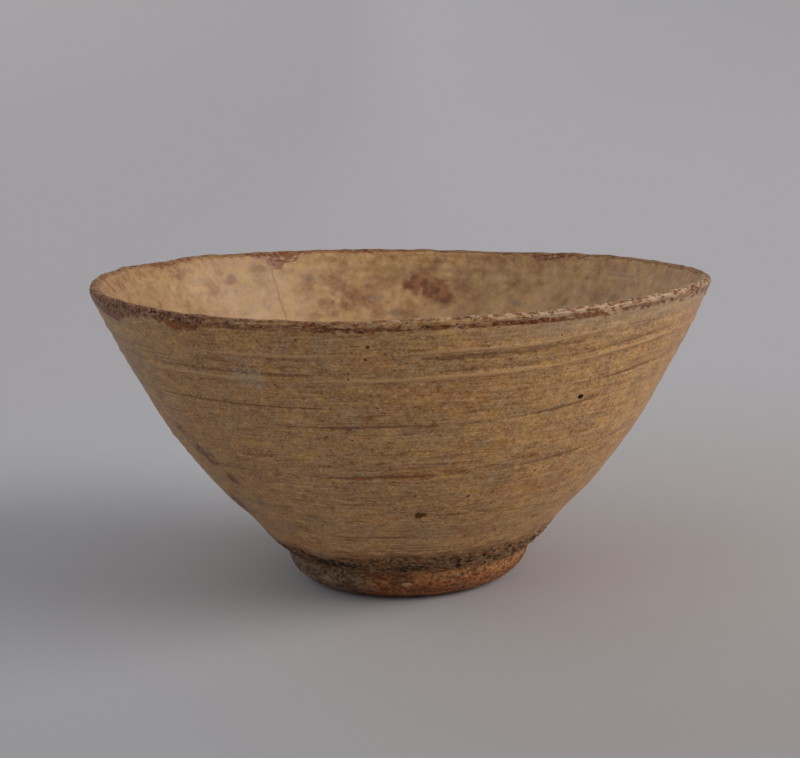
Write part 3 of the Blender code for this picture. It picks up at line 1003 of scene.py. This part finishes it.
def tan_ground(shade, mottle, fleck):
    """Tan with grey and brown clouds, rustier in a zone below the lip, with painted highlight on the raised
    finger lines and painted shade in the hollows.
    """
    share = shade.step(shade.noise(22.0, 41, 2.0), 0.38, 0.62)
    cloud = shade.noise(6.0, 42, 4.0, 0.62)
    hue = shade.noise(6.5, 47, 3.0, 0.6)
    relief = shade.attribute("relief")
    base = shade.mix(share, tints(TAN, 0.9, 0.87, 0.8), tints(TAN, 1.08, 1.05, 0.98))
    base = shade.tinted(base, TAN, (cloud, 0.5, 0.66, 0.7, (1.08, 1.12, 1.22)),
                        (cloud, 0.48, 0.34, 0.65, (0.74, 0.58, 0.42)))
    upper = shade.step(shade.plus(shade.attribute("lip"), shade.swing(cloud, 6.0)), 7.2, 5.2)
    coarse = shade.step(mottle, 0.42, 0.6)
    rusty = shade.mix(coarse, tints(TAN, 0.74, 0.5, 0.3), tints(TAN, 1.0, 0.92, 0.7))
    base = shade.laid(base, (upper, rusty, 0.45))
    base = shade.tinted(base, TAN, (hue, 0.5, 0.64, 0.65, (1.06, 1.06, 0.74)),
                        (hue, 0.46, 0.34, 0.6, (0.94, 0.74, 0.66)))
    base = shade.uneven(base, (cloud, 0.8), (mottle, 0.3))
    base = shade.grained(base, (mottle, 0.5), (fleck, 0.08))
    return shade.tinted(
        base, TAN,
        (mottle, 0.36, 0.27, 0.45, (0.5, 0.38, 0.28)),
        # painted highlight on raised relief, paler and bluer, and painted shade in its hollows
        (relief, 0.08, 0.24, 0.4, (1.22, 1.32, 1.45)),
        (relief, -0.06, -0.22, 0.35, (0.55, 0.45, 0.35)),
    )


def make_inside_glaze():
    """Paler and smoother, with blurred brown patches, grey smudges and hairlines."""
    shade = Shade("pale_glaze")
    mottle = shade.noise(2.1, 44, 3.0, 0.6)
    fleck = shade.noise(0.7, 45, 3.0, 0.6)
    base = tan_ground(shade, mottle, fleck)
    patches = shade.blots(spot_inside, PATCHES, (1, 0, 0), 1.0, 2.4, 0.45)
    brown = shade.mix(shade.step(mottle, 0.38, 0.62), *PATCH_BROWN)
    smudges = shade.blots(spot_inside, SMUDGES, (1, 0, 3), 0.9, 1.6, 0.45)
    base = shade.laid(base, (patches, brown, 0.92), (smudges, SMUDGE_GREY, 0.4))
    # painted light: the inside is lifted by up to 15% towards the back right, where its wall faces away from
    # the window light
    base = shade.scaled(base, shade.step(shade.along(50.0), -60.0, 60.0, 1.0, 1.15))
    dots = shade.specks(3.4, 48, 0.12, 0.12)
    hairs = shade.most(shade.crack(121.0, 56.0, 71.0, 0.6, 2.2, 49),
                       shade.crack(-62.0, 38.0, 66.0, 0.2, 2.0, 50))
    base = shade.laid(base, (dots, SPOT_BROWN, 0.35), (hairs, HAIR_BROWN, 0.38),
                      (iron_mask(shade), iron_colour(shade)))
    rough = shade.step(mottle, 0.35, 0.65, 0.42, 0.58)
    height = shade.plus(shade.times(fleck, 0.3), shade.times(mottle, 0.55))
    height = shade.math("SUBTRACT", height, shade.times(dots, 1.2))
    return shade.done(base, rough, height, 0.14)


# ---- the crust and the bare clay
def crust_black(shade, crumb, drift, soft):
    """1 where the crust is black: two wavering broken lines, scattered beads and two pools."""
    level = shade.plus(shade.height(), shade.swing(soft, 7.0))
    lines = 0.0
    for line, half in ((12.0, 0.9), (9.6, 1.0)):
        lines = shade.most(lines, shade.step(shade.off(level, line), half, 0.3 * half))
    lines = shade.times(lines, shade.step(shade.noise((2.6, 2.6, 1.3), 65, 3.0, 0.65), 0.5, 0.56))
    beads = shade.times(shade.specks((1.15, 1.15, 1.0), 66, 0.4, 0.42), shade.step(drift, 0.4, 0.52))
    pools = shade.most(shade.patch(spot_outside(-124.0, 10.2), (8.5, 8.5, 1.3), 0.7, 68, 1.6, 0.5),
                       shade.patch(spot_outside(-92.0, 9.6), (4.0, 4.0, 1.0), 0.8, 69, 1.4, 0.5))
    return shade.most(lines, beads, shade.times(pools, shade.step(crumb, 0.62, 0.5, 0.3, 1.0)))


def make_crust_glaze():
    """Almost black crawled beads with brown and pale grey crumbs between them."""
    shade = Shade("dark_crust")
    crumb = shade.noise((1.1, 1.1, 0.7), 61, 3.0, 0.65)
    drift = shade.noise(7.0, 62, 2.0)
    soft = shade.noise((2.6, 2.6, 1.4), 64, 3.0, 0.6)
    right = shade.step(shade.plus(shade.along(-30.0), shade.swing(soft, 30.0)), 10.0, 32.0)
    base = shade.mix(shade.step(crumb, 0.36, 0.54), CRUST_BROWN, shade.mix(right, *CRUST_TAN))
    pale = shade.times(shade.step(crumb, 0.52, 0.62), shade.step(drift, 0.36, 0.5))
    base = shade.laid(
        base, (pale, CRUST_PALE),
        (shade.step(soft, 0.5, 0.6, 0.0, 0.65), shade.uneven(CRUST_RUST, (crumb, 1.8))),
        (crust_black(shade, crumb, drift, soft), CRUST_BLACK, 0.92),
        (shade.specks((1.5, 1.5, 1.2), 67, 0.22, 0.16), CRUST_CREAM, 0.8),
        (shade.step(shade.attribute("edge"), 0.7, 0.0, 0.0, 0.75), CRUST_EDGE),
    )
    rough = shade.step(crumb, 0.35, 0.65, 0.5, 0.85)
    height = shade.plus(crumb, shade.times(shade.noise(0.35, 63, 2.0), 0.5))
    return shade.done(base, rough, height, 0.3, 0.1)


def foot_clay(shade, grain, fine):
    """Orange to brown, greyer on its left side as painted shade, with hollows and pale crumbs in its grain.
    """
    broad = shade.noise((6.0, 6.0, 2.4), 71, 3.0, 0.6)
    share = shade.step(broad, 0.38, 0.62)
    sway = shade.swing(broad, 14.0)
    # painted shade: the foot turns greyer on its left side, away from the window light
    grey = shade.step(shade.plus(shade.along(-158.0), sway), 17.0, 23.0)
    base = shade.mix(grey, shade.mix(share, *CLAY_ORANGE), shade.mix(share, *CLAY_SHADE_GREY))
    top = shade.step(shade.plus(shade.height(), shade.times(sway, 0.12)), 5.2, 6.6)
    right = shade.step(shade.along(-25.0), 8.0, 22.0)
    flush = shade.step(shade.along(-32.0), 12.0, 27.0, 0.0, 0.45)
    base = shade.laid(base, (shade.times(right, top), CLAY_PALE_TOP, 0.55), (flush, CLAY_FLUSH))
    base = shade.grained(base, (fine, 0.9), (grain, 1.1))
    return shade.laid(base, (shade.step(grain, 0.46, 0.36, 0.0, 0.8), CLAY_HOLLOW),
                      (shade.step(grain, 0.56, 0.68, 0.0, 0.45), CLAY_CRUMB))


def lip_clay(shade, grain, fine):
    """The worn lip: iron brown, tan where that wore off and paler on the right."""
    worn = shade.mix(shade.step(shade.along(-50.0), 42.0, 64.0), tints(TAN, 0.8, 0.74, 0.66), PALE_LIP)
    worn = shade.grained(worn, (grain, 0.9), (fine, 0.5))
    return shade.laid(worn, (iron_mask(shade), iron_colour(shade)))


def make_bare_clay():
    """Rough stoneware with pale grit, soot, blots and drying cracks at the foot, and the worn lip above."""
    shade = Shade("bare_clay")
    grain = shade.noise((1.1, 1.1, 0.8), 72, 4.0, 0.7)
    fine = shade.noise(0.45, 73, 2.0, 0.65)
    grit = shade.specks(1.4, 74, 0.22, 0.16)
    splits = shade.most(shade.crack(-124.8, 1.0, 7.0, 0.2, 0.6, 76),
                        shade.crack(-1.4, 70.0, 76.0, 0.28, 0.5, 77))
    blots = shade.step(shade.noise((2.4, 2.4, 1.3), 78, 3.0, 0.6), 0.535, 0.6)
    pebble = shade.patch(turned_point(-91.4, 29.2, 5.0), (1.25, 1.25, 0.55), 0.25, 3, 0.8)
    base = shade.laid(
        foot_clay(shade, grain, fine), (blots, CLAY_BLOT, 0.65), (grit, CLAY_GRIT, 0.8),
        (pebble, CLAY_PEBBLE, 0.75), (shade.specks(2.3, 75, 0.22, 0.2), CLAY_SOOT, 0.85),
        (splits, CLAY_SPLIT, 0.9), (shade.step(shade.height(), 40.0, 41.0), lip_clay(shade, grain, fine)),
    )
    rough = shade.step(grain, 0.3, 0.7, 0.62, 0.9)
    height = shade.plus(grain, shade.times(fine, 0.45), shade.times(grit, 0.3))
    height = shade.math("SUBTRACT", height, shade.times(splits, 1.2))
    return shade.done(base, rough, height, 0.28, 0.35)


# ---- studio
FLOOR_DROP = 0.05
CAMERA_LENS = 73.9
CAMERA_PLACE = (-0.0008, -0.4, 0.1212)  # in metres
CAMERA_TIP = 10.28  # degrees down from level
CAMERA_ROLL = -1.82


def make_sweep():
    """A round paper floor that curves up into a pale wall far off on every side, just below the foot, its
    grey painted with light and shade.
    """
    corners = [(0.0, 0.0), (2500.0, 0.0), (4500.0, 120.0), (6000.0, 700.0), (6600.0, 1900.0)]
    line = rounded(np.array(corners), 5) - np.array([0.0, FLOOR_DROP])
    sweep = Surface(line, np.zeros(line.shape), 96)
    made = make_mesh("floor_sweep", [sweep.base], False, {})
    shade = Shade("studio_grey")
    far = shade.vector("LENGTH", shade.place, output="Value")
    # painted shade and light: near the bowl the paper is cooler on the left, where the bowl's shadow falls,
    # and warmer on the right
    near = shade.mix(shade.step(shade.along(0.0), -60.0, 40.0), FLOOR_LEFT_COOL_SHADE, FLOOR_RIGHT_WARM_LIGHT)
    # from 110 to 330 mm out those painted tints give way to an even, paler grey
    colour = shade.laid(near, (shade.step(far, 110.0, 330.0), FLOOR_FAR))
    # painted shade: the paper darkens towards the left, down to 0.9, away from the window light
    colour = shade.scaled(colour, shade.step(shade.along(0.0), -220.0, 120.0, 0.9, 1.0))
    # painted shade: the paper darkens towards the front, down to 0.87
    colour = shade.scaled(colour, shade.step(shade.along(-90.0), 15.0, 120.0, 1.0, 0.87))
    made.data.materials.append(shade.done(colour, 0.9, shade.noise(0.9, 92, 2.0), 0.03, 0.15))


def make_sun(name, angle, rise, spread, strength, colour):
    """A far, broad and even light from an angle round the bowl and a rise above the floor."""
    data = bpy.data.lights.new(name, "SUN")
    data.angle = math.radians(spread)
    data.energy = strength
    data.color = colour
    made = bpy.data.objects.new(name, data)
    turn, up = math.radians(angle), math.radians(rise)
    towards = Vector((math.cos(turn) * math.cos(up), math.sin(turn) * math.cos(up), math.sin(up)))
    made.rotation_euler = towards.to_track_quat("Z", "Y").to_euler()
    made.location = towards * 2.0
    bpy.context.scene.collection.objects.link(made)


def make_studio():
    """The floor, a broad warm light on the right, two weak ones and an even room round them."""
    make_sweep()
    make_sun("window", -13.0, 22.0, 46.0, 2.4, (1.0, 0.985, 0.965))
    make_sun("fill", -150.0, 48.0, 60.0, 0.22, (0.93, 0.97, 1.0))
    make_sun("back", 150.0, 20.0, 50.0, 0.28, (0.95, 0.97, 1.0))
    world = bpy.data.worlds.new("soft_room")
    world.use_nodes = True
    room = world.node_tree.nodes["Background"]
    room.inputs["Color"].default_value = (0.97, 0.98, 1.0, 1.0)
    room.inputs["Strength"].default_value = 0.37
    bpy.context.scene.world = world
    bpy.context.scene.view_settings.view_transform = "Standard"


def make_camera():
    """Close in front and a little above the rim, with a slight roll."""
    data = bpy.data.cameras.new("camera")
    data.sensor_width = 36.0
    data.lens = CAMERA_LENS
    data.clip_start = 0.01
    made = bpy.data.objects.new("camera", data)
    made.location = CAMERA_PLACE
    tipped = Euler((math.radians(90.0 - CAMERA_TIP), 0.0, 0.0)).to_matrix()
    rolled = Euler((0.0, 0.0, math.radians(CAMERA_ROLL))).to_matrix()
    made.rotation_euler = (tipped @ rolled).to_euler()
    bpy.context.scene.collection.objects.link(made)
    bpy.context.scene.camera = made


def place_piece(piece, look, node):
    """Gives a piece its material, hangs it under the root body and hides the CAD part of this name."""
    piece.data.materials.append(look)
    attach(piece, "root")
    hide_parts(node)


make_camera()
make_studio()
place_piece(make_clay_body(), make_bare_clay(), "clay_body")
place_piece(make_glaze_outside(), make_outside_glaze(), "glaze_outside")
place_piece(make_glaze_inside(), make_inside_glaze(), "glaze_inside")
place_piece(make_glaze_crust(), make_crust_glaze(), "glaze_crust")
